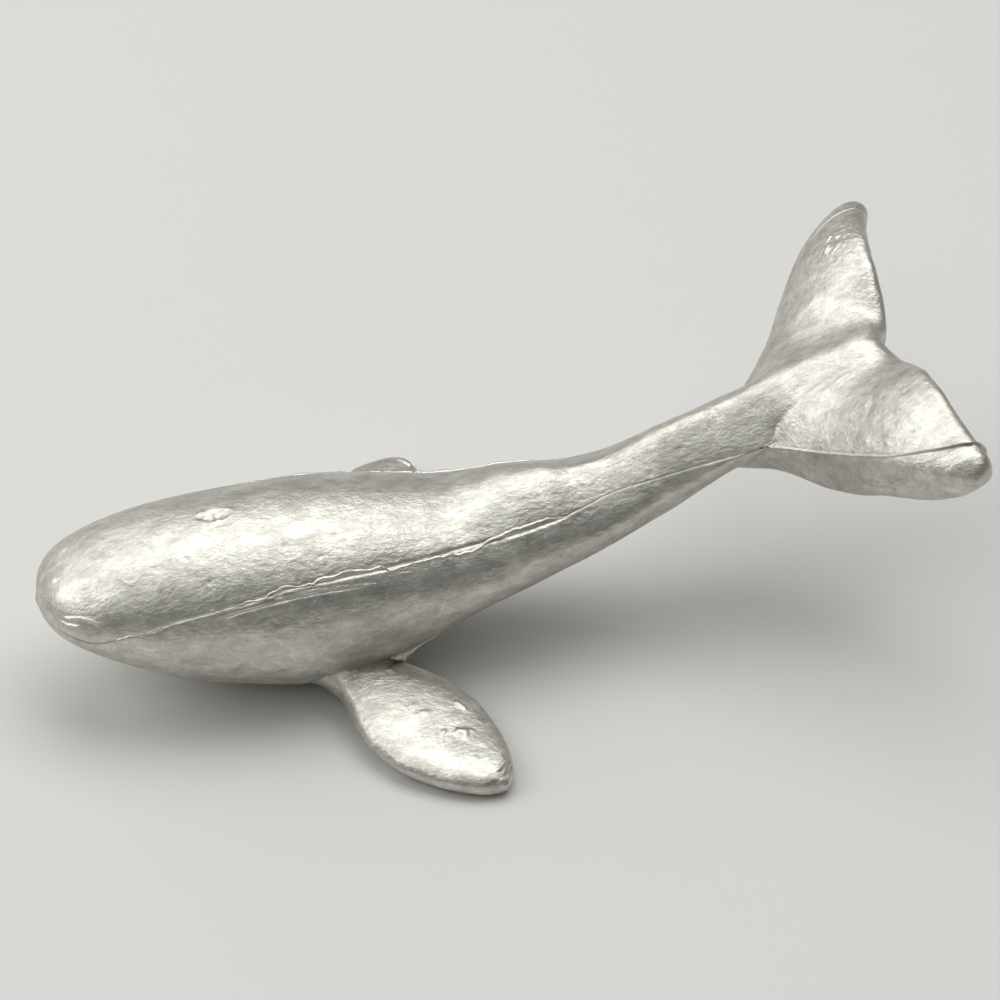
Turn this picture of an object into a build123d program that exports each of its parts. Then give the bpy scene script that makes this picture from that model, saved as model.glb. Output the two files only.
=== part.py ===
from build123d import *
import math
import os

# A cast pewter whale that lies on its belly with its tail raised. It is made of a few castings
# that are soldered together: a back with the upper skin of the flukes, a belly, the under side
# of the flukes and two flippers. Millimetres, +X from the nose to the tail, +Z up, the whale's
# left side on -Y, and the table at Z = 0.

# Overall sizes
overall_length = 74.0
body_height = 16.2
body_width = 17.4
fluke_span = 32.8

# Walls and fits of the castings
wall_thickness = 1.8
rim_thickness = 0.8
rim_height = 1.0
solder_film = 0.06
fit_clearance = 0.1
peg_diameter = 2.0
peg_length = 1.6
fluke_peg_diameter = 1.5
fluke_peg_length = 1.2

# Solder
solder_height = 0.3
solder_width = 0.8
flipper_solder_growth = 0.6
flipper_solder_length = 3.4

# Flippers
flipper_length = 17.6
flipper_chord = 9.7
flipper_thickness = 3.1
flipper_sweep = 35.0
tenon_width = 2.6
tenon_height = 1.5
tenon_length = 3.2

# Small features
blowhole_length = 2.8
blowhole_width = 1.1
blowhole_depth = 0.6
eye_diameter = 1.3
eye_groove = 0.25
eye_depth = 0.3

# Stations of the body: place along the length, then top, bottom and parting line as shares of the
# body's height, half width as a share of its greatest half width, and how sharp the ridge is.
body_shares = [
    (0.000, 0.655, 0.630, 0.642, 0.035, 0.00),
    (0.007, 0.740, 0.570, 0.640, 0.290, 0.00),
    (0.022, 0.810, 0.495, 0.632, 0.495, 0.00),
    (0.046, 0.865, 0.405, 0.615, 0.645, 0.00),
    (0.087, 0.930, 0.285, 0.675, 0.770, 0.00),
    (0.141, 0.975, 0.160, 0.740, 0.885, 0.00),
    (0.209, 0.995, 0.060, 0.790, 0.965, 0.00),
    (0.284, 1.000, -0.015, 0.830, 1.000, 0.00),
    (0.358, 0.975, 0.025, 0.825, 0.955, 0.00),
    (0.419, 0.930, 0.150, 0.812, 0.860, 0.05),
    (0.460, 0.890, 0.230, 0.805, 0.795, 0.15),
    (0.494, 0.945, 0.280, 0.812, 0.725, 0.30),
    (0.528, 0.980, 0.325, 0.825, 0.665, 0.42),
    (0.562, 0.980, 0.375, 0.837, 0.610, 0.50),
    (0.596, 0.960, 0.440, 0.855, 0.550, 0.50),
    (0.630, 0.980, 0.505, 0.895, 0.505, 0.50),
    (0.697, 1.130, 0.650, 0.980, 0.425, 0.55),
    (0.765, 1.240, 0.800, 1.045, 0.355, 0.60),
    (0.833, 1.340, 0.955, 1.115, 0.320, 0.60),
    (0.901, 1.430, 1.160, 1.240, 0.265, 0.60),
    (0.935, 1.470, 1.345, 1.375, 0.140, 0.60),
]

# Sections of one fluke: span, leading edge along and height, trailing edge along and height, then
# the depth of the under side and the rise of the upper skin as shares of the body's height.
fluke_shares = [
    (0.00, 0.760, 0.990, 0.940, 1.425, 0.155, 0.037),
    (0.15, 0.784, 1.040, 0.959, 1.470, 0.165, 0.043),
    (0.30, 0.818, 1.115, 0.963, 1.540, 0.190, 0.050),
    (0.45, 0.849, 1.190, 0.958, 1.630, 0.235, 0.055),
    (0.60, 0.872, 1.285, 0.961, 1.670, 0.260, 0.055),
    (0.75, 0.893, 1.395, 0.966, 1.680, 0.265, 0.055),
    (0.88, 0.917, 1.470, 0.975, 1.665, 0.250, 0.050),
    (0.96, 0.943, 1.500, 0.989, 1.590, 0.185, 0.037),
    (1.00, 0.971, 1.500, 1.000, 1.490, 0.085, 0.025),
]
fluke_turn_angles = (14, 34, 60, 90, 120, 148, 168)

# Sections of one flipper: place along its length, then chord, middle height and thickness as
# shares of the flipper's greatest chord and thickness.
flipper_shares = [
    (0.000, 0.47, 1.03, 1.03),
    (0.120, 0.60, 0.90, 1.03),
    (0.250, 0.80, 0.77, 1.03),
    (0.400, 0.98, 0.63, 1.00),
    (0.550, 1.00, 0.52, 0.94),
    (0.700, 0.87, 0.44, 0.90),
    (0.820, 0.67, 0.39, 0.83),
    (0.920, 0.41, 0.34, 0.71),
    (0.970, 0.20, 0.33, 0.50),
    (0.995, 0.06, 0.33, 0.22),
]

# Places of the joints and small features as shares of the sizes that they follow.
tail_joint_share = 0.800
hollow_shares = (0.150, 0.660)
head_peg_share = 0.055
tail_peg_share = 0.735
fluke_peg_shares = (0.887, 0.34)
flank_solder_shares = (0.055, 0.590)
blowhole_share = 0.194
eye_shares = (0.098, 0.790)
flipper_root_shares = (0.325, 0.645)

nose_step_share = 0.0045
longest_step_share = 0.042
step_growth_share = 1.45
fluke_places_share = (0.0, 0.08, 0.17, 0.27, 0.37, 0.47, 0.57, 0.67, 0.77, 0.86, 0.93, 0.97, 1.0)
flipper_places_share = (0.0, 0.1, 0.2, 0.32, 0.45, 0.58, 0.7, 0.8, 0.88, 0.94, 0.975, 0.995)

half_length = overall_length / 2
half_width = body_width / 2
half_span = fluke_span / 2
curve_steps = 8
section_points = 20
far = overall_length
overlap = rim_height


def place_x(along):
    return along * overall_length - half_length


def row_at(rows, along):
    """Row of a table of shares at any place, on a smooth curve that never overshoots its rows."""
    last = len(rows) - 1
    here = next((i for i in range(last) if along <= rows[i + 1][0]), last - 1)
    low, high = rows[here], rows[here + 1]
    step = high[0] - low[0]
    part = (along - low[0]) / step
    smooth = [along]
    for column in range(1, len(low)):
        def slope(index):
            near = [rows[i] for i in (index - 1, index, index + 1) if 0 <= i <= last]
            rates = [(q[column] - p[column]) / (q[0] - p[0]) for p, q in zip(near, near[1:])]
            if rates[0] * rates[-1] <= 0:
                return 0.0
            return 2 * rates[0] * rates[-1] / (rates[0] + rates[-1])
        rise = high[column] - low[column]
        bend = part * (1 - part)
        ease = part * part * (3 - 2 * part)
        swing = (1 - part) * slope(here) - part * slope(here + 1)
        smooth.append(low[column] + rise * ease + step * bend * swing)
    return tuple(smooth)


def body_rows(first, last):
    """Rows of the body from one place to another, closer together towards the nose."""
    places = [first]
    step = nose_step_share if first == 0 else longest_step_share
    while places[-1] + step < last:
        places.append(places[-1] + step)
        step = min(step * step_growth_share, longest_step_share)
    stretch = (last - first) / (places[-1] + step - first)
    places = [first + (place - first) * stretch for place in places] + [last]
    return [row_at(body_shares, place) for place in places]


def outline_point(row, grow, angle):
    """Point of a body section at an angle from the right side, seen from the nose.

    The lower half is half an ellipse. The upper half mixes an ellipse with a roof whose ridge
    lies on the midline. The section is grown outwards by the given amount.
    """
    along, top, bottom, parting, width, ridge = row
    half_height = (top - bottom) * body_height / 2 + grow
    middle = (top + bottom) * body_height / 2
    side = math.cos(angle)
    rise = math.sin(angle)
    if rise > 0:
        rise = (1 - ridge) * rise + ridge * (1 - abs(side))
    return place_x(along), (width * half_width + grow) * side, middle + half_height * rise


def angle_at(row, grow, height):
    """Angle at which the right side of a section reaches a height."""
    low, high = -math.pi / 2, math.pi / 2
    for _ in range(40):
        angle = (low + high) / 2
        if outline_point(row, grow, angle)[2] < height:
            low = angle
        else:
            high = angle
    return low


def half_section(row, upper, grow, shift):
    """Closed half of a body section, above or below the parting line moved by a shift."""
    height = row[3] * body_height + shift
    start = angle_at(row, grow, height)
    turn = math.pi / 2 if upper else -math.pi / 2
    angles = [start + (turn - start) * step / curve_steps for step in range(curve_steps + 1)]
    right = [outline_point(row, grow, angle) for angle in angles]
    left = [(x, -y, z) for x, y, z in reversed(right)]
    half_height = (row[1] - row[2]) * body_height / 2 + grow
    slope = row[5] * half_height / (row[4] * half_width + grow) if upper else 0
    middle = right[-1][0], 0, right[-1][2]
    right[-1] = middle
    left[0] = middle
    right_edge = Spline(*right, tangents=[along_curve(right), (0, -1, slope)])
    left_edge = Spline(*left, tangents=[(0, -1, -slope), along_curve(left, end=True)])
    return Wire([right_edge, left_edge, Line(left[-1], right[0])])


def along_curve(points, end=False):
    """Direction of a curve at its start or end, from its three nearest points."""
    a, b, c = [Vector(*point) for point in (points[-3:] if end else points[:3])]
    return (c * 3 - b * 4 + a) if end else (b * 4 - a * 3 - c)


def half_loft(first, last, upper, grow=0.0, shift=0.0):
    return Solid.make_loft([half_section(row, upper, grow, shift) for row in body_rows(first, last)])


def side_rail(first, last, side, corners):
    """A strip along one side of the body, whose corners are worked out at each station."""
    wires = []
    for row in body_rows(first, last):
        x = place_x(row[0])
        wires.append(Wire.make_polygon([(x, side * y, z) for y, z in corners(row)]))
    return Solid.make_loft(wires)


def hollow_point(row, angle):
    """Point of the belly's hollow, a wall thickness inside the lower outline of the body."""
    x, y, z = outline_point(row, 0, angle)
    inner = (row[4] * half_width - wall_thickness) / (row[4] * half_width)
    raised = wall_thickness * max(-math.sin(angle), 0)
    return x, y * inner, z + raised


def hollow_section(row):
    """Section of the belly's hollow, open upwards past the parting line."""
    start = angle_at(row, 0, row[3] * body_height)
    turn = -math.pi / 2 - start
    right = [hollow_point(row, start + turn * step / curve_steps) for step in range(curve_steps + 1)]
    left = [(x, -y, z) for x, y, z in reversed(right[:-1])]
    x, y, z = right[0]
    top = z + overlap
    sides = [Line((x, y, top), right[0]), Line(left[-1], (x, -y, top))]
    return Wire([sides[0], Spline(*right, *left), sides[1], Line((x, -y, top), (x, y, top))])


def rim_corners(row):
    """The locating rim of the back casting, just inside the wall of the belly casting."""
    height = row[3] * body_height
    outer = hollow_point(row, angle_at(row, 0, height))[1] - fit_clearance
    inner = outer - rim_thickness
    low = height - rim_height
    high = height + overlap
    return [(inner, low), (outer, low), (outer, high), (inner, high)]


def bead_corners(row):
    """A low bead of solder over the parting line."""
    height = row[3] * body_height
    corners = []
    for offset, rise in ((-1, 0), (-0.5, 1), (0.5, 1), (1, 0)):
        z = height + offset * solder_width / 2
        y = outline_point(row, 0, angle_at(row, 0, z))[1] + solder_film
        corners.append((y + rise * solder_height, z))
    return corners


def block(low, high):
    size = [b - a for a, b in zip(low, high)]
    middle = [(a + b) / 2 for a, b in zip(low, high)]
    return Pos(*middle) * Box(*size)


def largest_solid(shape):
    """The main solid of a result, without crumbs left by the trimming."""
    return max(shape.solids(), key=lambda solid: solid.volume)


def fluke_section(place, side, upper):
    """One fluke section in a plane across the span.

    A straight line runs from the leading to the trailing edge. The upper skin swells evenly over
    it, and the under side is fullest near the leading edge.
    """
    span, lead_along, lead_height, trail_along, trail_height, depth, rise = row_at(fluke_shares, place)
    y = side * span * half_span
    shift = solder_film / 2 if upper else -solder_film / 2
    lead = (place_x(lead_along), y, lead_height * body_height + shift)
    trail = (place_x(trail_along), y, trail_height * body_height + shift)
    curve = [lead]
    for angle in fluke_turn_angles:
        turn = math.radians(angle)
        part = (1 - math.cos(turn)) / 2
        swell = rise * math.sin(turn) ** 0.9
        if not upper:
            swell = -depth * math.sin(turn) ** 0.7 * (1 + math.cos(turn) / 2)
        x = lead[0] + part * (trail[0] - lead[0])
        z = lead[2] + part * (trail[2] - lead[2]) + swell * body_height
        curve.append((x, y, z))
    curve.append(trail)
    return Wire([Spline(*curve), Line(trail, lead)])


def fluke_layer(upper):
    """Both flukes from tip to tip, either the skin above the joint or the side under it."""
    left = [(place, -1) for place in reversed(fluke_places_share)]
    right = [(place, 1) for place in fluke_places_share[1:]]
    return Solid.make_loft([fluke_section(place, side, upper) for place, side in left + right])


def upright_peg(x, y, top, root, diameter, length, clearance):
    """A round peg that stands down from a joint face and is rooted above it."""
    radius = diameter / 2 + clearance
    return Pos(x, y, top - length - clearance) * extrude(Circle(radius), length + root + clearance)


def register_pegs(clearance):
    """Pegs in the solid head and tail that line the back up with the belly."""
    pegs = []
    for share in (head_peg_share, tail_peg_share):
        top = row_at(body_shares, share)[3] * body_height
        pegs.append(upright_peg(place_x(share), 0, top, peg_length, peg_diameter, peg_length, clearance))
    return pegs


def fluke_pegs(clearance):
    """Pegs that line the upper skin of the flukes up with their under side."""
    along, place = fluke_peg_shares
    span, lead_along, lead_height, trail_along, trail_height, depth, rise = row_at(fluke_shares, place)
    part = (along - lead_along) / (trail_along - lead_along)
    top = (lead_height + part * (trail_height - lead_height)) * body_height
    root = rise * body_height / 2
    return [upright_peg(place_x(along), side * span * half_span, top, root, fluke_peg_diameter,
                        fluke_peg_length, clearance) for side in (-1, 1)]


def eye_ring(side):
    """A ring-shaped groove in the side of the head."""
    along, height = eye_shares
    row = row_at(body_shares, along)
    angle = angle_at(row, 0, height * body_height)
    x, y, z = outline_point(row, 0, angle)
    over = outline_point(row, eye_diameter, angle)
    tilt = math.degrees(math.atan2(over[1] - y, over[2] - z))
    radius = eye_diameter / 2
    ring = Circle(radius) - Circle(radius - eye_groove)
    return Pos(x, side * y, z) * Rot(-side * tilt, 0, 0) * extrude(ring, eye_depth, both=True)


def blowhole():
    top = row_at(body_shares, blowhole_share)[1] * body_height
    outline = Ellipse(blowhole_length / 2, blowhole_width / 2)
    return Pos(place_x(blowhole_share), 0, top) * extrude(outline, blowhole_depth, both=True)


def flipper_frame(side):
    """Root, direction along the blade, swept back, and direction across it."""
    sweep = math.radians(flipper_sweep)
    along = Vector(math.sin(sweep), side * math.cos(sweep), 0)
    root = Vector(place_x(flipper_root_shares[0]), side * flipper_root_shares[1] * half_width, 0)
    return root, along, Vector(along.Y, -along.X, 0)


def rounded_section(centre, across, half_chord, half_thickness):
    """An upright closed section, between an ellipse and a rectangle."""
    points = []
    for step in range(section_points):
        angle = 2 * math.pi * step / section_points
        flat = math.copysign(abs(math.cos(angle)) ** 0.85, math.cos(angle))
        rise = math.copysign(abs(math.sin(angle)) ** 0.85, math.sin(angle))
        point = centre + across * (half_chord * flat)
        points.append((point.X, point.Y, point.Z + half_thickness * rise))
    return Wire([Spline(*points, periodic=True)])


def flipper_section(side, place, grow=0.0):
    root, along, across = flipper_frame(side)
    place, chord, middle, thickness = row_at(flipper_shares, place)
    centre = root + along * (place * flipper_length) + Vector(0, 0, middle * flipper_thickness)
    half_chord = chord * flipper_chord / 2 + grow
    return rounded_section(centre, across, half_chord, thickness * flipper_thickness / 2 + grow)


def flipper_blade(side):
    return Solid.make_loft([flipper_section(side, place) for place in flipper_places_share])


def tenon(side, clearance):
    """The tongue that passes through the wall of the belly casting."""
    root, along, across = flipper_frame(side)
    middle = root + Vector(0, 0, flipper_shares[0][2] * flipper_thickness)
    half_length_of_tenon = tenon_length / 2
    size = (tenon_width / 2 + clearance, tenon_height / 2 + clearance)
    ends = (middle - along * (half_length_of_tenon + clearance), middle + along * half_length_of_tenon)
    return Solid.make_loft([rounded_section(point, across, *size) for point in ends])


def flipper_collar(side):
    """A tapering collar round the root of a flipper, before what it covers is cut out."""
    reach = flipper_solder_length / flipper_length
    near = flipper_section(side, 0, flipper_solder_growth)
    return Solid.make_loft([near, flipper_section(side, reach, fit_clearance)])


os.makedirs("parts", exist_ok=True)
parts = {}
first, last = body_shares[0][0], body_shares[-1][0]
film = solder_film / 2
under_table = block((-far, -far, -far), (far, far, 0))
behind_joint = block((place_x(tail_joint_share), -far, -far), (far, far, far))

# Back casting: the upper part of the body with the upper skin of the flukes.
back = half_loft(first, last, True, shift=film)
back += fluke_layer(True) & behind_joint
for side in (-1, 1):
    back += side_rail(*hollow_shares, side, rim_corners)
for peg in register_pegs(0) + fluke_pegs(0):
    back += peg
back -= blowhole()
for side in (-1, 1):
    back -= eye_ring(side)
parts["back_casting"] = largest_solid(back)

# Belly casting: the lower part of the body as far as the tail joint, hollow in the middle.
lower = half_loft(first, tail_joint_share, False, shift=-film)
hollow = Solid.make_loft([hollow_section(row) for row in body_rows(*hollow_shares)])
belly = lower - hollow - under_table
for peg in register_pegs(fit_clearance):
    belly -= peg
for side in (-1, 1):
    belly -= tenon(side, fit_clearance)
parts["belly_casting"] = largest_solid(belly)

# Under side of the flukes, behind the tail joint.
core = half_loft(tail_joint_share, last, False, shift=-film)
under = (fluke_layer(False) & behind_joint) - half_loft(first, last, True, shift=-film)
under += core
for peg in fluke_pegs(fit_clearance):
    under -= peg
parts["fluke_under_casting"] = largest_solid(under)

for name, side in (("left", -1), ("right", 1)):
    blade = flipper_blade(side)
    parts[name + "_flipper"] = largest_solid(largest_solid(blade - lower - under_table) + tenon(side, 0))
    parts[name + "_flipper_solder"] = largest_solid(flipper_collar(side) - lower - blade - under_table)
    parts[name + "_flank_solder"] = side_rail(*flank_solder_shares, side, bead_corners)

# Solder round the lower half of the tail joint.
joint_end = tail_joint_share - solder_width / overall_length
ring = half_loft(joint_end, tail_joint_share, False, grow=solder_height, shift=-film)
parts["tail_joint_solder"] = largest_solid(ring - lower)

for name, solid in parts.items():
    export_step(solid, os.path.join("parts", name + ".step"))
    print(name, round(solid.volume, 1))
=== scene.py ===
import math
import bpy
import numpy as np
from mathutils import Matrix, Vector


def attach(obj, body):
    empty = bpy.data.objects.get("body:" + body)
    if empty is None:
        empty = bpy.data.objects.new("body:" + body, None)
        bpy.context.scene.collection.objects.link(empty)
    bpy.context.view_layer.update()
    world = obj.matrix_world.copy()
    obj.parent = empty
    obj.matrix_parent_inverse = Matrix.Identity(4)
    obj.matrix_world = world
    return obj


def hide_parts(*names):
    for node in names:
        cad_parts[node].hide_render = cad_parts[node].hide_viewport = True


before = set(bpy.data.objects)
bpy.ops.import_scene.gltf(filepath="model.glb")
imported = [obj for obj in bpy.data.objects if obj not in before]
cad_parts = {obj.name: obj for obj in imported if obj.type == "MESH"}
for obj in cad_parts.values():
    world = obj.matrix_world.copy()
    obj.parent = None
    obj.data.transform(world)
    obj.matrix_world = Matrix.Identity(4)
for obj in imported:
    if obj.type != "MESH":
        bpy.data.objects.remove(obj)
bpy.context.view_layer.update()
print("cad frame loaded")

# Shapes are in millimetres, -Y is the whale's left. A mesh is turned into metres when it is made.
metresPerMillimetre = 0.001
farAway = 9.0  # farther than any mark or pit reaches
jointX = 22.2  # where the belly ends and the under side of the flukes begins
sharpAngle = math.radians(55)  # edges that turn by more than this are drawn sharp

# Body stations: x, top, bottom, seam height, half width, sharpness of the ridge
bodyRows = np.array([
    (-37.0, 10.60, 10.20, 10.40, 0.30, 0.00),
    (-36.5, 12.00, 9.20, 10.35, 2.50, 0.00),
    (-35.4, 13.10, 8.00, 10.25, 4.30, 0.00),
    (-33.6, 14.00, 6.60, 9.95, 5.60, 0.00),
    (-30.6, 15.10, 4.60, 10.90, 6.70, 0.00),
    (-26.6, 15.80, 2.60, 12.00, 7.70, 0.00),
    (-21.5, 16.10, 1.00, 12.80, 8.40, 0.00),
    (-16.0, 16.20, -0.15, 13.45, 8.70, 0.00),
    (-10.5, 15.80, 0.50, 13.35, 8.30, 0.00),
    (-6.0, 15.10, 2.40, 13.15, 7.50, 0.05),
    (-3.0, 14.75, 3.70, 13.05, 6.90, 0.12),
    (-0.45, 15.20, 4.50, 13.15, 6.30, 0.24),
    (2.1, 15.80, 5.20, 13.35, 5.80, 0.36),
    (4.6, 15.90, 6.10, 13.55, 5.30, 0.44),
    (7.1, 15.60, 7.10, 13.85, 4.80, 0.48),
    (9.6, 15.90, 8.20, 14.50, 4.40, 0.50),
    (14.6, 18.25, 10.50, 15.90, 3.70, 0.58),
    (19.6, 20.10, 13.90, 17.30, 3.60, 0.74),
    (24.6, 21.75, 16.60, 18.60, 3.80, 0.80),
    (29.7, 23.25, 19.40, 20.60, 3.00, 0.70),
    (32.2, 23.90, 21.90, 22.40, 1.60, 0.60)])

# Rounding of the body's edges along the seam: x, width, depth
seamRows = np.array([
    (-37.0, 0.08, 0.06), (-26.0, 0.08, 0.06), (-20.0, 0.14, 0.12), (0.0, 0.14, 0.12), (5.0, 0.12, 0.06),
    (7.5, 0.08, 0.02), (16.0, 0.08, 0.02), (19.0, 0.12, 0.08), (32.2, 0.12, 0.10)])

# Fluke sections: distance from the middle, leading edge x and z, trailing edge x and z,
# depth of the under side, rise of the skin
flukeRows = np.array([
    (0.0, 19.2, 16.0, 32.6, 22.6, 2.5, 0.6),
    (2.5, 21.0, 16.9, 33.9, 23.3, 2.7, 0.8),
    (4.9, 23.3, 18.1, 34.2, 24.5, 3.4, 1.0),
    (7.4, 25.4, 19.3, 34.2, 25.7, 4.3, 1.1),
    (9.8, 27.0, 20.8, 34.5, 25.9, 4.5, 1.1),
    (12.3, 28.7, 22.2, 35.1, 25.3, 3.9, 1.0),
    (14.4, 30.4, 23.0, 35.8, 24.5, 3.3, 1.0),
    (15.6, 31.6, 23.3, 36.3, 24.0, 2.7, 0.95),
    (16.4, 32.5, 23.5, 36.5, 23.8, 2.1, 0.9),
    (16.9, 33.2, 23.6, 36.4, 23.7, 1.65, 0.78),
    (17.3, 33.8, 23.7, 36.1, 23.65, 1.15, 0.6),
    (17.55, 34.3, 23.8, 35.7, 23.7, 0.7, 0.38),
    (17.7, 34.6, 23.8, 35.2, 23.75, 0.33, 0.18),
    (17.75, 34.85, 23.8, 34.95, 23.8, 0.06, 0.04)])

# Where the two castings of a fluke part: distance from the middle, share of the chord
splitRows = np.array([
    (0.0, 0.015), (9.8, 0.02), (12.3, 0.05), (13.7, 0.15), (14.63, 0.30), (15.04, 0.45), (15.26, 0.68),
    (15.40, 0.97), (15.70, 1.0)])


def eased(part):
    # Goes from 0 to 1 with a level start and end: three squares less two cubes.
    part = np.clip(part, 0, 1)
    return part * part * (3 - 2 * part)


def bell(distance, width):
    # 1 in the middle, falling off as the exponential of minus the squared distance in widths.
    return np.exp(-(distance / width) ** 2)


def columns(rows, x):
    # A curve through each column that never overshoots its rows. The slope at a row is the
    # harmonic mean of the slopes on its two sides, and nothing where they change sign. Between
    # two rows it is the cubic that has their values and slopes.
    x = np.asarray(x, float)
    at = rows[:, 0]
    step = np.diff(at)[:, None]
    rate = np.diff(rows[:, 1:], axis=0) / step
    product = rate[:-1] * rate[1:]
    mean = np.where(product > 0, 2 * product / np.where(product > 0, rate[:-1] + rate[1:], 1), 0)
    slope = np.vstack([rate[:1], mean, rate[-1:]])
    here = np.clip(np.searchsorted(at, x, side="right") - 1, 0, len(at) - 2)
    length = step[here]
    part = np.clip((x - at[here])[..., None] / length, 0, 1)
    low, high = rows[here, 1:], rows[here + 1, 1:]
    swing = part * (1 - part) * ((1 - part) * slope[here] - part * slope[here + 1])
    return np.moveaxis(low + (high - low) * eased(part) + length * swing, -1, 0)


ridgeRounding = 0.16


def bodyRise(angle, ridge):
    # Height over the middle as a share of the half height. Above it is an ellipse mixed with a
    # roof whose ridge is a little rounded, below it is the ellipse alone.
    side = np.sqrt(np.cos(angle) ** 2 + ridgeRounding ** 2) - ridgeRounding
    side = side / (math.sqrt(1 + ridgeRounding ** 2) - ridgeRounding)
    roof = (1 - ridge) * np.abs(np.sin(angle)) + ridge * (1 - side)
    return np.where(np.sin(angle) > 0, roof, np.sin(angle))


def bodySkin(x, angle):
    # The half width times the cosine to the side, the half height times the rise above the
    # middle. The angle runs from the right side over the back.
    top, bottom, _, half, ridge = columns(bodyRows, x)
    middle, tall = (top + bottom) / 2, (top - bottom) / 2
    return np.stack([x + 0 * angle, half * np.cos(angle), middle + tall * bodyRise(angle, ridge)], -1)


def seamAngle(x):
    # Angle at which the right side reaches the seam, found by halving the range.
    top, bottom, seam, _, ridge = columns(bodyRows, x)
    want = (seam - (top + bottom) / 2) / ((top - bottom) / 2)
    low, high = np.full_like(x, -math.pi / 2), np.full_like(x, math.pi / 2)
    for _ in range(30):
        angle = (low + high) / 2
        rise = bodyRise(angle, ridge)
        low, high = np.where(rise < want, angle, low), np.where(rise < want, high, angle)
    return (low + high) / 2


def lattice(spots, seed):
    # A repeatable random value between -1 and 1 at each whole-numbered spot: the fraction of a
    # large multiple of a sine.
    mixed = np.sin(spots @ np.array([127.1, 311.7, 74.7]) + seed * 57.31) * 43758.5453
    return 2 * (mixed - np.floor(mixed)) - 1


def lumps(points, cell, seed):
    # Smooth random heights: the eight lattice values round a point, mixed by eased distances.
    scaled = points / np.array(cell)
    low = np.floor(scaled)
    part = eased(scaled - low)
    total = 0
    for corner in np.ndindex(2, 2, 2):
        weight = np.prod(np.where(np.array(corner, bool), part, 1 - part), axis=-1)
        total = total + weight * lattice(low + corner, seed)
    return total


def varied(points, layers, seed):
    # The lumps of several layers added up, each layer with its height and the size of its cells.
    return sum(height * lumps(points, cell, seed + k) for k, (height, cell) in enumerate(layers))


def pits(points, cell, radius, seed, share):
    # Round hollows of depth 1 at one random place in some of the lattice cells; the depth
    # falls off from the nearest place as a bell.
    scaled = points / cell
    low = np.floor(scaled)
    nearest = np.full(points.shape[:-1], farAway)
    for corner in np.ndindex(3, 3, 3):
        spot = low + corner - 1
        place = spot + 0.5 + 0.4 * np.stack([lattice(spot, seed + k) for k in (1, 2, 3)], -1)
        away = np.linalg.norm(scaled - place, axis=-1)
        nearest = np.where(lattice(spot, seed) < 2 * share - 1, np.minimum(nearest, away), nearest)
    return bell(nearest * cell, radius)


def marked(points, marks):
    # Each mark follows a line of points: its depth falls off to both sides as a bell. A line of
    # points without a height is followed in plan.
    total = np.zeros(points.shape[:-1])
    for path, width, depth in marks:
        path = np.array(path, float)
        place = points[..., :path.shape[1]]
        low, high = path.min(axis=0) - 3 * width, path.max(axis=0) + 3 * width
        near = ((place > low) & (place < high)).all(axis=-1)
        spots = place[near]
        away = np.full(len(spots), farAway)
        for a, b in zip(path, path[1:] if len(path) > 1 else path):
            reach = b - a
            part = np.clip((spots - a) @ reach / max(reach @ reach, 1e-9), 0, 1)
            away = np.minimum(away, np.linalg.norm(spots - a - part[:, None] * reach, axis=-1))
        total[near] -= depth * bell(away, width)
    return total


def pushOut(grid, height, outward):
    # Moves a grid along its own normals, the cross product of its two directions.
    normal = np.cross(np.gradient(grid, axis=0), np.gradient(grid, axis=1)) * outward
    normal /= np.maximum(np.linalg.norm(normal, axis=-1, keepdims=True), 1e-9)
    return grid + normal * height[..., None]


finishValues = {
    # Broad dents, then two layers of wrinkles drawn out along the body: height, size of the cells
    "lumps": ((0.05, (4.5, 3.0, 3.0)), (0.013, (1.1, 0.6, 0.6)), (0.012, (0.45, 0.28, 0.28))),
    # Depth, spacing, radius, share of the places that have one
    "pits": (0.07, 1.5, 0.22, 0.35),
    "holes": (0.10, 4.0, 0.34, 0.4),
    # A coarse patch near the right fluke's tip, in plan; its cells are turned by a slant
    "patchPlace": (32.0, 11.0),
    "patchReach": 2.4,
    "patchLumps": ((0.05, 0.55), (0.05, 0.27)),
    "patchSlant": ((0.8, 0.6, 0), (-0.6, 0.8, 0), (0, 0, 1))}


def handFinish(points, seed, strength=1.0):
    # Cast and hand-rubbed metal: dents and wrinkles, less small pits and larger holes, and one
    # coarse patch that fades out as a bell.
    values = finishValues
    height = varied(points, values["lumps"], seed)
    for step, layer in ((3, "pits"), (7, "holes")):
        depth, cell, radius, share = values[layer]
        height = height - depth * pits(points, cell, radius, seed + step, share)
    away = np.linalg.norm(points[..., :2] - np.array(values["patchPlace"]), axis=-1)
    coarse = varied(points @ np.array(values["patchSlant"]), values["patchLumps"], seed + 11)
    return strength * (height + bell(away, values["patchReach"]) * coarse)


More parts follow.
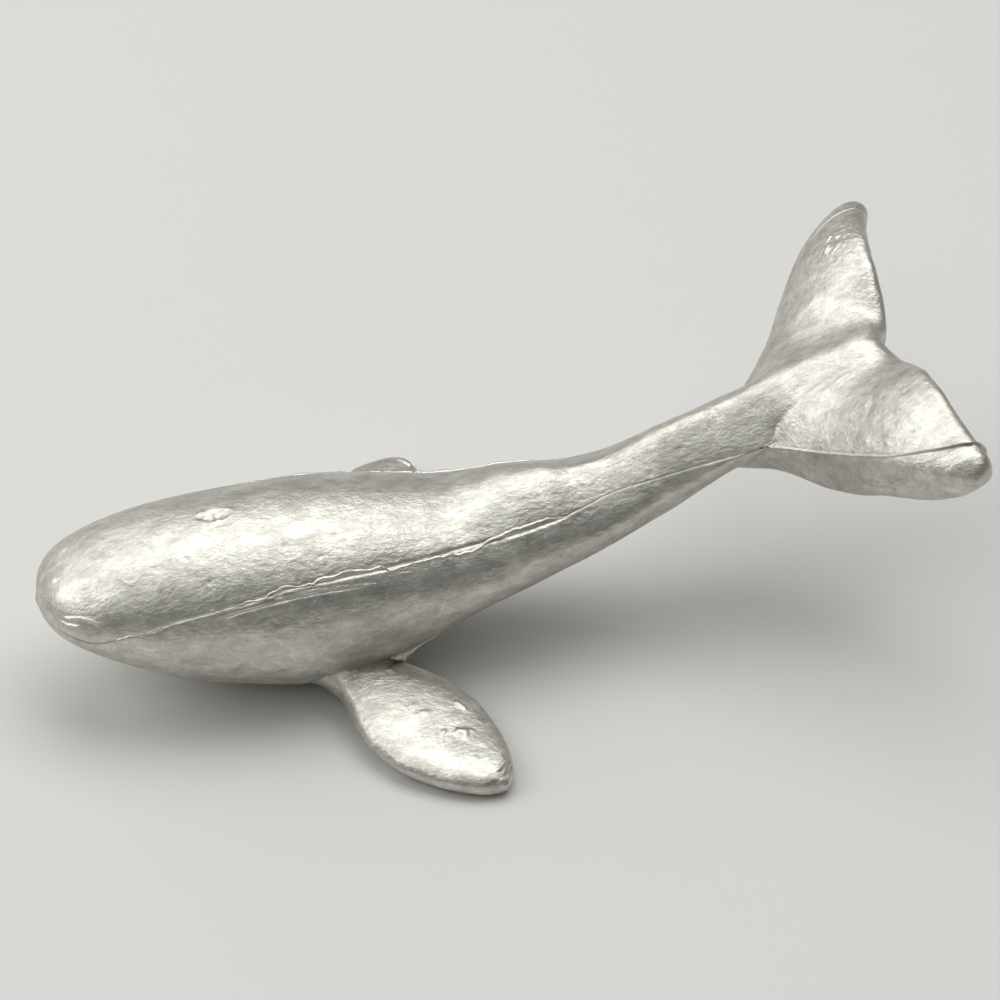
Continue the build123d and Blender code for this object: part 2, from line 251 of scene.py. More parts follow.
def closedMesh(name, rings):
    # rings is a grid of closed loops; each end is closed by a fan to the middle of its loop.
    count, around = rings.shape[:2]
    points = np.concatenate([rings.reshape(-1, 3), rings[:1].mean(axis=1), rings[-1:].mean(axis=1)])
    i, j = np.meshgrid(np.arange(count - 1), np.arange(around), indexing="ij")
    k = (j + 1) % around
    quads = np.stack([i * around + j, i * around + k, (i + 1) * around + k, (i + 1) * around + j], -1)
    quads = quads.reshape(-1, 4)
    j = np.arange(around)
    k = (j + 1) % around
    first, last, lastRing = count * around, count * around + 1, (count - 1) * around
    fans = np.concatenate([np.stack([j * 0 + first, k, j], -1),
                           np.stack([j * 0 + last, lastRing + j, lastRing + k], -1)])
    a, b, c, d = (points[quads[:, n]] for n in range(4))
    volume = (np.cross(a, b) * c).sum() + (np.cross(a, c) * d).sum()
    if volume < 0:
        quads, fans = quads[:, ::-1], fans[:, ::-1]
    mesh = bpy.data.meshes.new(name)
    mesh.vertices.add(len(points))
    mesh.vertices.foreach_set("co", (points * metresPerMillimetre).ravel())
    corners = np.concatenate([quads.ravel(), fans.ravel()]).astype(np.int32)
    sizes = np.concatenate([np.full(len(quads), 4), np.full(len(fans), 3)]).astype(np.int32)
    mesh.loops.add(len(corners))
    mesh.loops.foreach_set("vertex_index", corners)
    mesh.polygons.add(len(sizes))
    mesh.polygons.foreach_set("loop_start", np.concatenate([[0], np.cumsum(sizes)[:-1]]).astype(np.int32))
    mesh.polygons.foreach_set("use_smooth", np.ones(len(sizes), bool))
    mesh.update(calc_edges=True)
    mesh.validate()
    mesh.set_sharp_from_angle(angle=sharpAngle)
    piece = bpy.data.objects.new(name, mesh)
    bpy.context.collection.objects.link(piece)
    return piece


def addPiece(name, rings, material, node):
    # Makes one piece, hangs it under the root body and hides the CAD part of the node it stands for.
    piece = closedMesh(name, rings)
    piece.data.materials.append(material)
    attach(piece, "root")
    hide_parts(node)


# Noise layers of the metal: scale, detail, stretch, distortion, roughness
noiseLayers = {
    "cloud": (700, 10, (0.6, 1, 1), 0.3, 0.85),
    "rub": (900, 6, (0.45, 1, 1), 0.0, 0.65),
    "grain": (4200, 4, (0.6, 1, 1), 0.3, 0.65),
    "wave": (1500, 5, (0.45, 1, 1), 0.6, 0.65)}
toneStops = (0.36, 0.5, 0.64)
glossStops = (0.3, 0.7)
grainDistance = 0.00006  # metres
waveDistance = 0.00012


def pewter(name, look):
    # Satin cast pewter: a cloudy tone, gloss that comes and goes, a fine grain over soft waves.
    material = bpy.data.materials.new(name)
    material.use_nodes = True
    nodes, links = material.node_tree.nodes, material.node_tree.links
    shader = nodes["Principled BSDF"]
    shader.inputs["Metallic"].default_value = 1.0
    place = nodes.new("ShaderNodeTexCoord")

    def noise(layer):
        scale, detail, stretch, distortion, roughness = noiseLayers[layer]
        mapping = nodes.new("ShaderNodeMapping")
        mapping.inputs["Scale"].default_value = stretch
        links.new(place.outputs["Object"], mapping.inputs["Vector"])
        texture = nodes.new("ShaderNodeTexNoise")
        texture.inputs["Scale"].default_value = scale
        texture.inputs["Detail"].default_value = detail
        texture.inputs["Roughness"].default_value = roughness
        texture.inputs["Distortion"].default_value = distortion
        links.new(mapping.outputs["Vector"], texture.inputs["Vector"])
        return texture.outputs["Fac"]

    def ramp(source, stops, colours):
        node = nodes.new("ShaderNodeValToRGB")
        bar = node.color_ramp.elements
        bar[0].position, bar[1].position = stops[0], stops[-1]
        bar[0].color, bar[1].color = colours[0], colours[-1]
        for position, colour in zip(stops[1:-1], colours[1:-1]):
            bar.new(position).color = colour
        links.new(source, node.inputs["Fac"])
        return node.outputs["Color"]

    def bump(source, strength, distance):
        node = nodes.new("ShaderNodeBump")
        node.inputs["Strength"].default_value = strength
        node.inputs["Distance"].default_value = distance
        links.new(source, node.inputs["Height"])
        return node

    tones = [look["dark"], look["middle"], look["light"]]
    links.new(ramp(noise("cloud"), toneStops, tones), shader.inputs["Base Color"])
    shades = [(look[key],) * 3 + (1,) for key in ("glossy", "dull")]
    links.new(ramp(noise("rub"), glossStops, shades), shader.inputs["Roughness"])
    fine = bump(noise("grain"), look["grain"], grainDistance)
    broad = bump(noise("wave"), look["wrinkle"], waveDistance)
    links.new(fine.outputs["Normal"], broad.inputs["Normal"])
    links.new(broad.outputs["Normal"], shader.inputs["Normal"])
    return material


castLook = {"dark": (0.43, 0.42, 0.38, 1), "middle": (0.60, 0.59, 0.535, 1),
            "light": (0.80, 0.79, 0.73, 1), "glossy": 0.33, "dull": 0.48, "grain": 0.9, "wrinkle": 0.3}
solderLook = {"dark": (0.54, 0.53, 0.49, 1), "middle": (0.68, 0.67, 0.63, 1),
              "light": (0.80, 0.79, 0.75, 1), "glossy": 0.24, "dull": 0.38, "grain": 0.3, "wrinkle": 0.3}
cast = pewter("castPewter", castLook)
solder = pewter("softSolder", solderLook)
print("metals made")


def fullTurn(count):
    # Even steps round a circle, without its end.
    return np.linspace(0, 2 * math.pi, count + 1)[None, :-1]


def alongX(x):
    # Points on a straight line along X.
    return np.stack([x, 0 * x, 0 * x], -1)


def bunched(count, strength):
    # Even steps from 0 to 1, drawn together towards both ends by part of a sine wave.
    even = np.linspace(0, 1, count)
    return even - strength * np.sin(2 * np.pi * even) / (2 * np.pi)


blowholeValues = {
    "middle": (-22.2, 0.35), "halfSize": (1.40, 0.72), "lowest": 10,
    "rimShare": 1.05, "rimWidth": 0.18, "rimHeight": 0.05, "rimLumps": ((0.05, 0.4),), "rimSeed": 7,
    "bowlShare": 1.15, "wallShare": 0.6, "bowlDepth": 0.20, "bowlLumps": ((0.09, 0.28), (0.06, 0.13)),
    "bowlSeed": 5}


def blowholeRelief(points):
    # A shallow almond bowl with a raised rim and a rough floor, a little off the middle line. The
    # share of the way to the edge is 1 on an ellipse; the rim is a bell over that share, and the
    # bowl eases down inside it.
    values = blowholeValues
    share = np.linalg.norm((points[..., :2] - values["middle"]) / values["halfSize"], axis=-1)
    rim = values["rimHeight"] + varied(points, values["rimLumps"], values["rimSeed"])
    bowl = values["bowlDepth"] + varied(points, values["bowlLumps"], values["bowlSeed"])
    raised = rim * bell(share - values["rimShare"], values["rimWidth"])
    sunk = bowl * eased((values["bowlShare"] - share) / values["wallShare"])
    return np.where(points[..., 2] > values["lowest"], raised - sunk, 0)


eyeValues = {
    "middle": (-29.65, 3.5, 14.55),
    "ringRadius": 0.72, "ringWidth": 0.10, "ringHeight": 0.08, "ringLumps": ((0.05, 0.35),), "seed": 8,
    "fadeStart": 0.15, "fadeLength": 0.3,
    "dipRadius": 0.45, "dipWidth": 0.22, "dipDepth": 0.02}


def eyeRelief(points):
    # A faint round groove with a raised ragged crescent under it, on both sides of the head. Both
    # are bells over the distance from the eye's middle.
    values = eyeValues
    middle = np.array(values["middle"])
    mirrored = points * (1, 0, 1) + np.abs(points) * (0, 1, 0)
    away = np.linalg.norm(mirrored - middle, axis=-1)
    under = np.clip((middle[2] + values["fadeStart"] - mirrored[..., 2]) / values["fadeLength"], 0, 1)
    ring = (values["ringHeight"] + varied(points, values["ringLumps"], values["seed"])) * under
    dip = values["dipDepth"] * bell(away - values["dipRadius"], values["dipWidth"])
    return ring * bell(away - values["ringRadius"], values["ringWidth"]) - dip


tailValues = {
    "blend": 6.0, "blendStart": 14.0, "easeShare": 0.32,    # how the body and the flukes run together
    "spreadStart": 19.0, "spreadLength": 3.5,               # where the body turns into a spreading ridge
    "ridgeSlope": 0.95, "ridgeSoftness": 0.5, "ridgeLevel": 0.707,
    "ridgeEnd": 30.5, "ridgeDrop": 0.35,                    # how the ridge runs out at the notch
    "besideSlope": 3.0,                                     # how the body's skin carries on beside it
    "sinkStart": 22.5, "sinkLength": 3.0, "sinkDepth": 1.6}  # how the back dips under the fluke skin

flukeValues = {
    "stations": 190, "across": 190, "flatSteps": 14, "tipCrowding": 1.8, "edgeCrowding": 0.35,
    "edgeRise": 0.8, "edgePower": 0.8, "camber": 0.6, "lip": 0.9, "lipReach": 1.3,
    "underFullness": 0.5, "underBlend": 3.0,
    "frontSink": 0.25, "frontStart": 20.8, "frontLength": 2.2,    # the skin's front dips under the back
    "edgeDepth": 0.09, "edgeWidth": 0.12, "fadeReach": 0.5, "trailingFade": 4,
    "gapeStart": 13.4, "gapeLength": 1.2, "gapeDepth": 0.16, "gapeWidth": 0.05,
    "closingLength": 0.3, "closing": 1.56,    # past the end of the skin the groove runs out
    "rightSide": 0.2,                         # share of the groove that the right fluke has
    "underSeed": 71}


def skinRise(turn, chord):
    # A power of the sine rounds both edges, its square is the camber between them, and a quarter
    # of a circle makes a full lip along the trailing edge. The turn goes from 0 at the leading
    # edge to half a circle at the trailing edge.
    values = flukeValues
    part = (1 - np.cos(turn)) / 2
    lip = np.sqrt(1 - (1 - np.clip(chord * (1 - part) / values["lipReach"], 0, 1)) ** 2)
    rounded = values["edgeRise"] * np.sin(turn) ** values["edgePower"]
    return rounded + values["camber"] * np.sin(turn) ** 2 + values["lip"] * part * lip


def flukeTop(x, y):
    # Height of the skin of the flukes over a place in plan, and the place's share of the chord;
    # ahead of the leading edge the straight line of the section is carried on.
    leadX, leadZ, trailX, trailZ, _, rise = columns(flukeRows, np.abs(y))
    part = (x - leadX) / (trailX - leadX)
    turn = np.arccos(np.clip(1 - 2 * part, -1, 1))
    return leadZ + (trailZ - leadZ) * part + rise * skinRise(turn, trailX - leadX), part


def ridgeDrop(x):
    # The ridge runs out between the flukes along a parabola.
    return tailValues["ridgeDrop"] * np.maximum(x - tailValues["ridgeEnd"], 0) ** 2


def bodyHeight(x, y, upper):
    # Height of the body's skin over a place in plan, found from the angle whose cosine is the
    # share of the half width. Beside the body it carries on in a steep straight line.
    top, bottom, _, half, ridge = columns(bodyRows, x)
    beside = tailValues["besideSlope"] * np.maximum(np.abs(y) - half, 0)
    angle = np.arccos(np.clip(np.abs(y) / half, 0, 1))
    middle, tall = (top + bottom) / 2, (top - bottom) / 2
    if upper:
        return middle + tall * bodyRise(angle, ridge) - beside - ridgeDrop(x)
    return middle - tall * np.sin(angle) + beside


def softMaximum(a, b, reach):
    # The greater of two heights. Where they differ by less than the reach, the square of what is
    # left of it, over four times the reach, is added.
    near = np.maximum(reach - np.abs(a - b), 0) / reach
    return np.maximum(a, b) + near * near * reach / 4


def tailTop(x, y, body):
    # The body turns into a ridge that falls to both sides as a hyperbola and spreads into the
    # flukes. The rounding between them dies away ahead of the leading edge.
    values = tailValues
    fluke, part = flukeTop(x, y)
    top = columns(bodyRows, x)[0]
    fall = np.sqrt(y * y + values["ridgeSoftness"]) - values["ridgeLevel"]
    spread = top - values["ridgeSlope"] * fall - ridgeDrop(x)
    body = body + (spread - body) * eased((x - values["spreadStart"]) / values["spreadLength"])
    higher = np.maximum(body, fluke)
    rounded = softMaximum(body, fluke, values["blend"])
    return higher + (rounded - higher) * eased(part / values["easeShare"])


def halfBody(x, upper, values):
    # One half of the body: each loop runs from seam to seam over the skin, then straight back. Its
    # relief is the hand finish and the marks, less a bell along the seam. Over the tail the back
    # takes its height from tailTop, and then dips under the skin of the flukes.
    start = seamAngle(x)[:, None]
    share = bunched(values["around"], values["seamCrowding"])[None, :]
    sweep = math.pi - 2 * start if upper else -math.pi - 2 * start
    grid = bodySkin(x[:, None] + 0 * share, start + sweep * share)
    arc = np.linalg.norm(np.diff(grid, axis=1), axis=-1)
    reach = np.concatenate([np.zeros((len(x), 1)), np.cumsum(arc, axis=1)], axis=1)
    edge = np.minimum(reach, reach[:, -1:] - reach)
    height = handFinish(grid, values["seed"]) + marked(grid, values["marks"])
    width, depth = columns(seamRows, x)[..., None]
    height -= depth * bell(edge, width)
    if upper:
        height += blowholeRelief(grid) + eyeRelief(grid)
        tail = x > tailValues["blendStart"]
        grid[tail, :, 2] = tailTop(*np.moveaxis(grid[tail], -1, 0))
        behind = eased((x - tailValues["sinkStart"]) / tailValues["sinkLength"])
        grid[..., 2] -= tailValues["sinkDepth"] * behind[:, None]
    skin = pushOut(grid, height, -1 if upper else 1)
    back = np.stack([skin[:, -1] * (1 - t) + skin[:, 0] * t for t in (0.25, 0.5, 0.75)], axis=1)
    return np.concatenate([skin, back], axis=1)


def bodyStations(end, values):
    # Steps along the body, drawn together at the nose: even ones mixed with a power of them.
    even = np.linspace(0, 1, values["stations"])
    start, mix = bodyRows[0, 0], values["noseMix"]
    return start + (end - start) * ((1 - mix) * even + mix * even ** values["nosePower"])


# Marks of the hand and the mould: points of a line, width, depth (a ridge where it is negative)
backMarks = [
    ([(-35.4, -4.1, 11.3), (-35.0, -4.5, 11.3), (-34.2, -5.0, 11.4)], 0.09, -0.12),
    ([(-35.1, -4.2, 11.7), (-34.0, -4.7, 12.0), (-33.3, -5.1, 12.0), (-32.8, -5.5, 11.8)], 0.08, -0.12),
    ([(-34.2, 1.8, 13.5)], 0.15, -0.14),
    ([(-33.3, -3.0, 13.6)], 0.14, -0.12),
    ([(-23.7, -6.9, 12.6)], 0.12, -0.07),
    ([(-23.0, 0.4), (-22.6, 0.2)], 0.17, 0.14),
    ([(-22.1, 0.2), (-21.7, 0.4)], 0.14, 0.12),
    ([(6.6, -2.5, 14.7), (6.2, -2.9, 14.5)], 0.14, 0.14),
    ([(8.0, -2.9, 14.4), (8.9, -3.1, 14.4)], 0.09, -0.06),
    ([(12.2, -2.3, 16.0), (12.5, -2.8, 15.8)], 0.16, 0.16),
    ([(18.3, 0.2, 19.6), (18.9, -0.4, 19.7), (19.1, -1.0, 19.5)], 0.14, 0.10),
    ([(22.0, 0.0, 20.9), (22.3, -0.4, 20.8)], 0.16, 0.16),
    ([(20.6, -3.0, 17.6), (21.8, -2.9, 18.3)], 0.25, -0.05)]
bellyMarks = [
    ([(-22.6, -8.2, 7.3), (-22.0, -8.3, 7.9), (-21.2, -8.4, 8.3), (-20.6, -8.5, 8.4), (-19.6, -8.5, 7.9),
      (-18.5, -8.5, 6.7)], 0.42, -0.08),
    ([(-23.4, -7.4, 12.0), (-21.7, -7.3, 12.3), (-19.3, -7.2, 12.6), (-16.9, -7.1, 12.8),
      (-14.4, -7.0, 12.8), (-11.8, -6.9, 12.7)], 0.10, 0.07),
    ([(-18.4, -7.0, 12.8), (-16.0, -6.9, 13.0), (-13.5, -6.8, 12.9), (-10.6, -6.8, 12.6)], 0.07, -0.05),
    ([(-3.0, -5.1, 12.3), (-2.0, -5.1, 12.3)], 0.09, -0.07),
    ([(-8.2, -6.2, 12.7), (-7.6, -6.1, 12.6)], 0.09, -0.06)]

backValues = {"stations": 480, "noseMix": 0.25, "nosePower": 2.2, "around": 180, "seamCrowding": 0.7,
              "seed": 11, "marks": backMarks}
backRings = halfBody(bodyStations(bodyRows[-1, 0], backValues), True, backValues)
addPiece("backSkin", backRings, cast, "back_casting")

bellyValues = {"stations": 480, "noseMix": 0.25, "nosePower": 2.2, "around": 180, "seamCrowding": 0.7,
               "seed": 31, "marks": bellyMarks}
bellyRings = halfBody(bodyStations(jointX, bellyValues), False, bellyValues)
bellyRings[..., 2] = np.maximum(bellyRings[..., 2], 0.0)  # flat where the belly meets the table
addPiece("bellySkin", bellyRings, cast, "belly_casting")
print("body halves made")


def flukeLayer(upper, seed, marks):
    # A straight line runs from the leading to the trailing edge of each section. The skin swells
    # over it, and the under side is fullest near the leading edge. The castings part just behind
    # the leading edge; near the tip the joint crosses over the top, so that the under one rounds
    # the tip. The stations draw together towards the tip.
    values = flukeValues
    skinEnd = splitRows[-2, 0]
    even = np.linspace(0, 1, values["stations"])
    span = (skinEnd if upper else flukeRows[-1, 0]) * (1 - (1 - even) ** values["tipCrowding"])
    leadX, leadZ, trailX, trailZ, depth, rise = columns(flukeRows, span)[..., None]
    split = np.arccos(1 - 2 * columns(splitRows, span)[0])[:, None]

    def placed(turn, lift):
        # Points at a turn round the section, lifted off its straight line.
        part = (1 - np.cos(turn)) / 2
        x = leadX + (trailX - leadX) * part
        y = span[:, None] + 0 * x
        z = leadZ + (trailZ - leadZ) * part + lift
        if upper:
            ahead = 1 - eased((x - values["frontStart"]) / values["frontLength"])
            blended = tailTop(x, y, bodyHeight(x, y, True)) - values["frontSink"] * ahead
            z = np.where(lift > 0, blended, z)
        else:
            blended = -softMaximum(-z, -bodyHeight(x, y, False), values["underBlend"])
            z = np.where(lift < 0, blended, z)
        return np.stack([x, y, z], -1)

    start = split if upper else -split
    way = start + (math.pi - start) * bunched(values["across"], values["edgeCrowding"])[None, :]
    turn = np.minimum(np.abs(way), math.pi - 0.0001)
    below = -depth * np.sin(turn) ** values["edgePower"] * (1 + values["underFullness"] * np.cos(turn))
    above = rise * skinRise(turn, trailX - leadX)
    half = placed(turn, np.where((way > 0) & (not upper), below, above))
    turnBack = split + (math.pi - split) * np.linspace(1, 0, values["flatSteps"])[None, 1:]
    flatHalf = placed(turnBack, 0 * turnBack)
    skin = np.concatenate([half[:0:-1] * (1, -1, 1), half])
    flat = np.concatenate([flatHalf[:0:-1] * (1, -1, 1), flatHalf])

    # The joint is rounded all along and gapes near the tips, the right one much less.
    both = np.concatenate([np.arange(len(span) - 1, 0, -1), np.arange(len(span))])
    reach = span[both][:, None]
    side = np.where(np.arange(len(both)) < len(span) - 1, 1.0, values["rightSide"])[:, None]
    edge = np.linalg.norm(skin - skin[:, :1], axis=-1)
    gape = np.clip((reach - values["gapeStart"]) / values["gapeLength"], 0, 1)
    gape = gape - values["closing"] * np.clip((reach - skinEnd) / values["closingLength"], 0, 1)
    groove = (values["edgeDepth"] + values["gapeDepth"] * gape) * side
    trailing = np.minimum(values["trailingFade"] * np.sin(turn[both]), 1)
    fade = np.minimum(edge / values["fadeReach"], 1) * np.where(way[both] > math.pi / 2, trailing, 1)
    height = handFinish(skin, seed) * fade
    height -= groove * bell(edge, values["edgeWidth"] + values["gapeWidth"] * gape)
    skin = pushOut(skin, height + marked(skin, marks), 1 if upper else -1)
    return np.concatenate([skin, flat], axis=1)


# Marks on the flukes, the upper ones in plan
skinMarks = [
    ([(22.0, -3.2), (25.1, -2.9), (28.3, -2.3), (30.6, -1.8)], 0.34, -0.07),
    ([(31.4, 10.9), (31.0, 10.3)], 0.15, 0.15),
    ([(31.6, 9.9), (31.3, 9.8)], 0.12, 0.12),
    ([(31.6, 8.8), (31.4, 8.6)], 0.13, 0.13),
    ([(32.4, 8.6), (32.7, 8.2)], 0.10, 0.09),
    ([(32.4, 7.2)], 0.14, -0.07),
    ([(31.9, 12.0), (31.5, 11.6)], 0.10, 0.09),
    ([(28.6, -4.6), (29.4, -5.2), (29.9, -6.3), (29.5, -7.4), (28.9, -8.2)], 0.24, -0.05),
    ([(27.6, -6.4), (28.2, -7.8), (29.4, -9.0)], 0.22, 0.04),
    ([(31.6, -5.8), (31.2, -7.0), (31.8, -8.7)], 0.20, -0.05),
    ([(30.2, -9.4), (30.5, -10.2), (31.1, -10.7), (31.3, -12.2)], 0.20, -0.04),
    ([(29.6, -11.2), (30.6, -12.2), (32.0, -12.8)], 0.20, 0.03)]
underMarks = [
    ([(28.4, -11.6, 19.8), (28.7, -12.1, 20.0), (29.5, -13.1, 20.6), (30.3, -14.0, 21.9)], 0.15, 0.16),
    ([(28.4, -11.7, 19.4), (28.9, -12.4, 19.6), (29.8, -13.4, 20.3)], 0.12, -0.10)]

# The skin has the back's seed, so that the finish runs on from one to the other.
flukeSkin = flukeLayer(True, backValues["seed"], skinMarks)
addPiece("flukeSkin", flukeSkin, cast, "back_casting")
flukeUnder = flukeLayer(False, flukeValues["underSeed"], underMarks)
addPiece("flukeUnder", flukeUnder, cast, "fluke_under_casting")

stockValues = {"stations": 90, "around": 60, "seamCrowding": 0.7, "seed": 91, "marks": ()}
stockStations = np.linspace(jointX, bodyRows[-1, 0], stockValues["stations"])
addPiece("tailUnder", halfBody(stockStations, False, stockValues), cast, "fluke_under_casting")
print("flukes made")

# Flipper sections: share of the length, half chord, middle height, half thickness
flipperRows = np.array([
    (-0.10, 3.70, 3.90, 2.60),
    (0.00, 2.95, 3.45, 2.05),
    (0.08, 2.80, 3.00, 1.80),
    (0.16, 3.15, 2.65, 1.70),
    (0.26, 3.90, 2.30, 1.62),
    (0.40, 4.70, 1.95, 1.55),
    (0.55, 4.80, 1.60, 1.45),
    (0.70, 4.15, 1.35, 1.40),
    (0.82, 3.25, 1.25, 1.30),
    (0.92, 2.05, 1.15, 1.10),
    (0.975, 1.00, 1.10, 0.75),
    (1.00, 0.20, 1.10, 0.30)])
flipperMarks = [
    ([(-5.7, 14.8, 2.8), (-5.2, 14.9, 2.8)], 0.30, 0.22),
    ([(-5.3, 15.4, 2.8)], 0.26, 0.10),
    ([(-4.7, 14.8, 2.7)], 0.20, 0.10),
    ([(-6.9, 14.7, 2.9)], 0.18, 0.20),
    ([(-8.8, 12.8, 3.3), (-7.9, 12.6, 3.3)], 0.28, 0.10),
    ([(-5.2, 11.7, 2.9), (-4.7, 12.4, 2.8)], 0.16, 0.15),
    ([(-4.4, 19.3, 1.9), (-3.4, 19.0, 2.1), (-2.7, 18.2, 2.1)], 0.14, 0.16),
    ([(-3.9, 19.9, 1.6), (-3.0, 19.5, 1.7), (-2.3, 18.6, 1.7)], 0.20, -0.14)]
flipperValues = {
    "root": (-12.95, 5.6), "tip": (-2.85, 20.0), "stations": 190, "around": 220,
    "tipCrowding": 1.5, "squareness": 0.85, "finish": 1.1, "seed": 111}


def flipper(side):
    # Rounded sections along a straight line from root to tip, cut flat where they meet the table.
    # A section is an ellipse whose sine and cosine are raised to a power below one.
    values = flipperValues
    start = flipperRows[0, 0]
    share = 1 - (1 - start) * (1 - np.linspace(0, 1, values["stations"])) ** values["tipCrowding"]
    chord, middle, thick = columns(flipperRows, share)[..., None]
    turn = fullTurn(values["around"])
    flat = np.sign(np.cos(turn)) * np.abs(np.cos(turn)) ** values["squareness"]
    lift = np.sign(np.sin(turn)) * np.abs(np.sin(turn)) ** values["squareness"]
    root, line = np.array(values["root"]), np.subtract(values["tip"], values["root"])
    across = np.array([line[1], -line[0]]) / np.hypot(*line)
    x = root[0] + line[0] * share[:, None] + across[0] * chord * flat
    y = root[1] + line[1] * share[:, None] + across[1] * chord * flat
    grid = np.stack([x, y, middle + thick * lift], -1)
    wrapped = np.concatenate([grid[:, -1:], grid, grid[:, :1]], axis=1)
    height = handFinish(wrapped, values["seed"] + side, values["finish"]) + marked(wrapped, flipperMarks)
    rings = pushOut(wrapped, height, -1)[:, 1:-1]
    rings[..., 2] = np.maximum(rings[..., 2], 0.0)
    return rings * (1, side, 1)


bothSides = (("left", -1), ("right", 1))
for name, side in bothSides:
    addPiece(name + "Flipper", flipper(side), cast, name + "_flipper")
print("flippers made")

# Crest of the solder along the flank: x, height over the seam, radius
beadRows = np.array([
    (-33.0, -0.20, 0.02), (-31.9, -0.26, 0.06), (-31.4, -0.02, 0.07), (-30.1, 0.04, 0.06),
    (-28.3, -0.18, 0.04), (-27.1, -0.12, 0.02), (-24.0, -0.15, 0.02), (-21.2, 0.03, 0.05),
    (-19.6, -0.14, 0.10), (-19.1, 0.10, 0.12), (-17.9, 0.14, 0.12), (-17.2, 0.05, 0.06),
    (-15.7, -0.05, 0.10), (-15.0, 0.15, 0.13), (-13.4, 0.22, 0.15), (-12.9, 0.31, 0.12),
    (-11.9, 0.24, 0.10), (-10.9, 0.10, 0.12), (-10.1, 0.16, 0.13), (-9.1, -0.18, 0.09),
    (-8.5, -0.13, 0.08), (-6.7, -0.09, 0.11), (-5.4, -0.08, 0.14), (-4.1, -0.20, 0.15),
    (-2.4, -0.28, 0.16), (-1.5, -0.15, 0.13), (0.2, 0.18, 0.12), (1.9, 0.30, 0.13),
    (3.9, 0.28, 0.10), (5.3, 0.08, 0.04), (6.4, -0.10, 0.02)])
beadValues = {
    "stations": 620, "around": 10, "seed": 131, "inset": 0.02, "stretch": (1.1, 0.8),
    "wander": ((0.05, 0.7), (0.03, 0.3)), "swell": ((0.3, 0.9), (0.25, 0.35))}


def flankBead(side):
    # A thin uneven tube laid along the seam; its line wavers and its radius swells and thins.
    # Three Newton steps find the angle at which the skin has the line's height.
    values = beadValues
    x = np.linspace(beadRows[0, 0], beadRows[-1, 0], values["stations"])
    lift, radius = columns(beadRows, x)
    seed = values["seed"] + side
    want = columns(bodyRows, x)[2] + lift + varied(alongX(x), values["wander"], seed)
    radius = radius * (1 + varied(alongX(x), values["swell"], seed + 2))
    angle = seamAngle(x)
    nudge = 0.01
    for _ in range(3):
        here = bodySkin(x, angle)[:, 2]
        angle = angle + (want - here) * nudge / (bodySkin(x, angle + nudge)[:, 2] - here)
    centre = bodySkin(x, angle)
    turn = fullTurn(values["around"])
    wide, tall = values["stretch"]
    y = centre[:, 1:2] - values["inset"] + radius[:, None] * np.cos(turn) * wide
    z = centre[:, 2:3] + radius[:, None] * np.sin(turn) * tall
    return np.stack([x[:, None] + 0 * y, y, z], -1) * (1, side, 1)


# Solder behind the root of a flipper: x, angle on the body, radius
rootRunRows = np.array([
    (-9.7, -0.46, 0.08), (-9.2, -0.52, 0.24), (-8.6, -0.62, 0.34), (-7.9, -0.72, 0.30),
    (-7.2, -0.77, 0.20), (-6.5, -0.79, 0.17), (-5.8, -0.79, 0.12), (-5.0, -0.79, 0.04)])
rootRunValues = {"stations": 120, "around": 20, "seed": 141, "lift": 0.5,
                 "swell": ((0.25, 0.8), (0.2, 0.35))}


def sectionDirection(angle):
    # The direction at an angle of a section: its cosine to the side and its sine up.
    return np.stack([0 * angle, np.cos(angle), np.sin(angle)], -1)[:, None]


def rootRun(side):
    # A tapering tube along the lower flank; its middle line lies half a radius outside the skin.
    values = rootRunValues
    x = np.linspace(rootRunRows[0, 0], rootRunRows[-1, 0], values["stations"])
    angle, radius = columns(rootRunRows, x)
    radius = radius * (1 + varied(alongX(x), values["swell"], values["seed"] + side))
    outward, upward = sectionDirection(angle), sectionDirection(angle + math.pi / 2)
    turn = fullTurn(values["around"])[..., None]
    ring = (values["lift"] + np.cos(turn)) * outward + np.sin(turn) * upward
    return (bodySkin(x, angle)[:, None] + radius[:, None, None] * ring) * (1, side, 1)


# The cells of the joint bead's layers are shares of the way round.
jointBeadValues = {
    "stations": 200, "around": 12, "seed": 151, "ahead": 0.25, "radius": 0.10, "width": 1.6,
    "wander": ((0.25, 1 / 6),), "swell": ((0.4, 1 / 14),)}


def jointBead():
    # A thin uneven tube round the lower half of the body, just ahead of the tail joint. It is
    # wider along the body than it is high.
    values = jointBeadValues
    share = np.linspace(0, 1, values["stations"])
    x = np.full(len(share), jointX - values["ahead"])
    start = seamAngle(x)
    angle = start - (math.pi + 2 * start) * share
    x = x + varied(alongX(share), values["wander"], values["seed"])
    radius = values["radius"] * (1 + varied(alongX(share), values["swell"], values["seed"] + 1))
    turn = fullTurn(values["around"])[..., None]
    ring = np.cos(turn) * sectionDirection(angle) + np.sin(turn) * np.array([values["width"], 0, 0])
    return bodySkin(x, angle)[:, None] + radius[:, None, None] * ring


for name, side in bothSides:
    addPiece(name + "FlankBead", flankBead(side), solder, name + "_flank_solder")
for name, side in bothSides:
    addPiece(name + "RootRun", rootRun(side), solder, name + "_flipper_solder")
addPiece("jointBead", jointBead(), cast, "tail_joint_solder")
print("solder made")

floorValues = {"size": 6.0, "colour": (0.66, 0.655, 0.635, 1), "roughness": 0.9}


def floorMaterial():
    # A plain pale floor with hardly any gloss.
    material = bpy.data.materials.new("paleFloor")
    material.use_nodes = True
    shader = material.node_tree.nodes["Principled BSDF"]
    shader.inputs["Base Color"].default_value = floorValues["colour"]
    shader.inputs["Roughness"].default_value = floorValues["roughness"]
    return material


bpy.ops.mesh.primitive_plane_add(size=floorValues["size"], location=(0, 0, 0))
floor = bpy.context.object
floor.name = "floor"
floor.data.materials.append(floorMaterial())


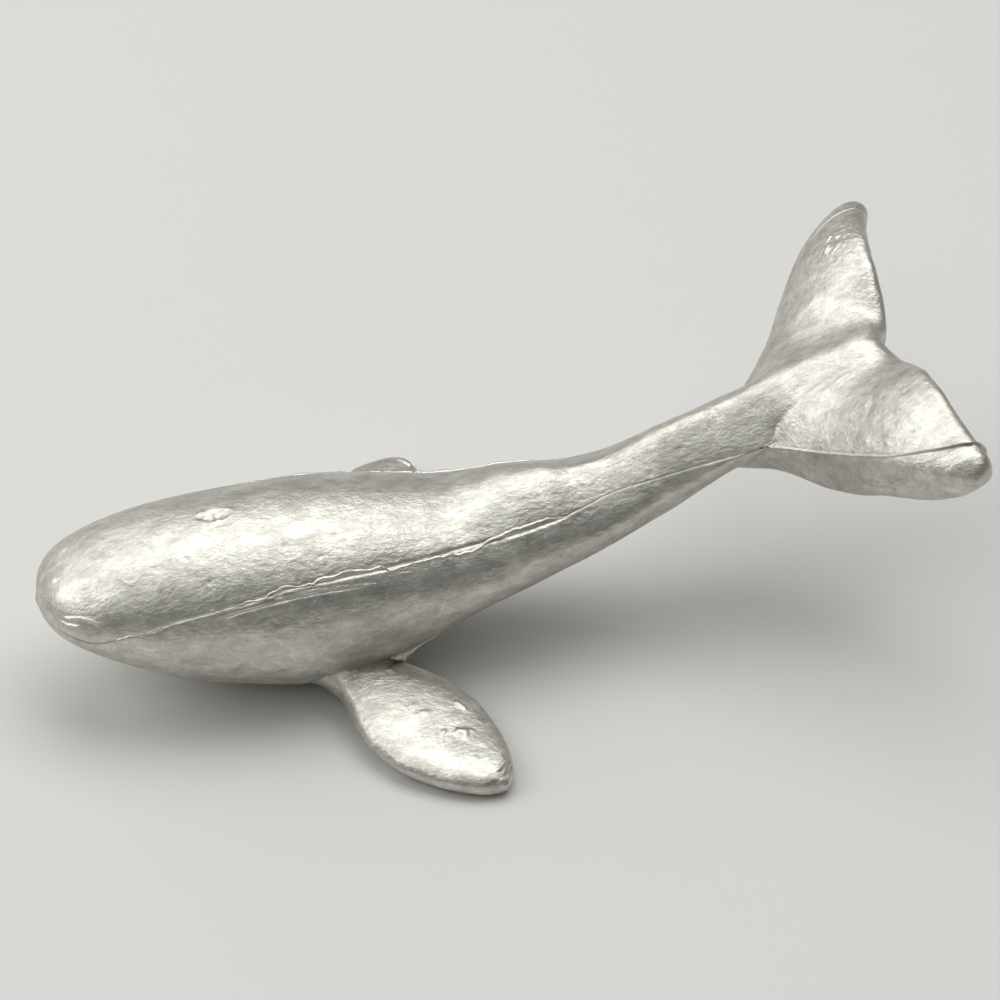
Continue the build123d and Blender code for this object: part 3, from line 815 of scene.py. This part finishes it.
def aim(thing, place, target):
    # Puts a camera or a lamp at a place, looking along its own -Z at the target.
    bpy.context.collection.objects.link(thing)
    thing.location = place
    thing.rotation_euler = Vector(np.subtract(target, place)).to_track_quat("-Z", "Y").to_euler()


# The camera's place and target are in millimetres, as the shapes are.
cameraValues = {"place": (-50.61, -223.06, 219.385), "target": (2.54, 6.237, 7.493),
                "lens": 136.8, "sensor": 36, "clipStart": 0.01}


def addCamera(values):
    # Looks at the whale from the photo's angle.
    data = bpy.data.cameras.new("camera")
    data.sensor_width = values["sensor"]
    data.sensor_height = values["sensor"]
    data.sensor_fit = "AUTO"
    data.lens = values["lens"]
    data.clip_start = values["clipStart"]
    camera = bpy.data.objects.new("camera", data)
    aim(camera, *(np.array(values[key]) * metresPerMillimetre for key in ("place", "target")))
    bpy.context.scene.camera = camera


# Lamps in metres and watts: name, place, target, size, power
lampRows = [
    ("keyLamp", (0.08, 0.10, 0.48), (0, 0, 0.01), (0.56, 0.34), 1.55),
    ("sideLamp", (-0.43, 0.06, 0.40), (0, 0, 0.01), (0.44, 0.40), 1.3),
    ("frontLamp", (-0.17, -0.27, 0.42), (0.02, 0, 0.02), (0.22, 0.20), 0.20),
    ("backLamp", (-0.30, 0.52, 0.36), (0, 0, 0.01), (0.50, 0.36), 0.5)]


def addLamp(name, place, target, size, power):
    # A soft rectangular lamp that is aimed at the target.
    data = bpy.data.lights.new(name, "AREA")
    data.shape = "RECTANGLE"
    data.size, data.size_y = size
    data.energy = power
    aim(bpy.data.objects.new(name, data), place, target)


worldValues = {"From Min": -0.7, "From Max": 0.9, "To Min": 0.11, "To Max": 0.40}
worldColour = (1.0, 0.99, 0.96, 1)


def studioWorld():
    # Paler behind the object and darker in front: the strength rises in a straight line with Y.
    world = bpy.data.worlds.new("studio")
    bpy.context.scene.world = world
    world.use_nodes = True
    nodes, links = world.node_tree.nodes, world.node_tree.links
    place = nodes.new("ShaderNodeTexCoord")
    split = nodes.new("ShaderNodeSeparateXYZ")
    shade = nodes.new("ShaderNodeMapRange")
    for socket, value in worldValues.items():
        shade.inputs[socket].default_value = value
    links.new(place.outputs["Generated"], split.inputs["Vector"])
    links.new(split.outputs["Y"], shade.inputs["Value"])
    links.new(shade.outputs["Result"], nodes["Background"].inputs["Strength"])
    nodes["Background"].inputs["Color"].default_value = worldColour


addCamera(cameraValues)
for lamp in lampRows:
    addLamp(*lamp)
studioWorld()
bpy.context.scene.view_settings.view_transform = "Standard"
print("stage, camera and lamps set")
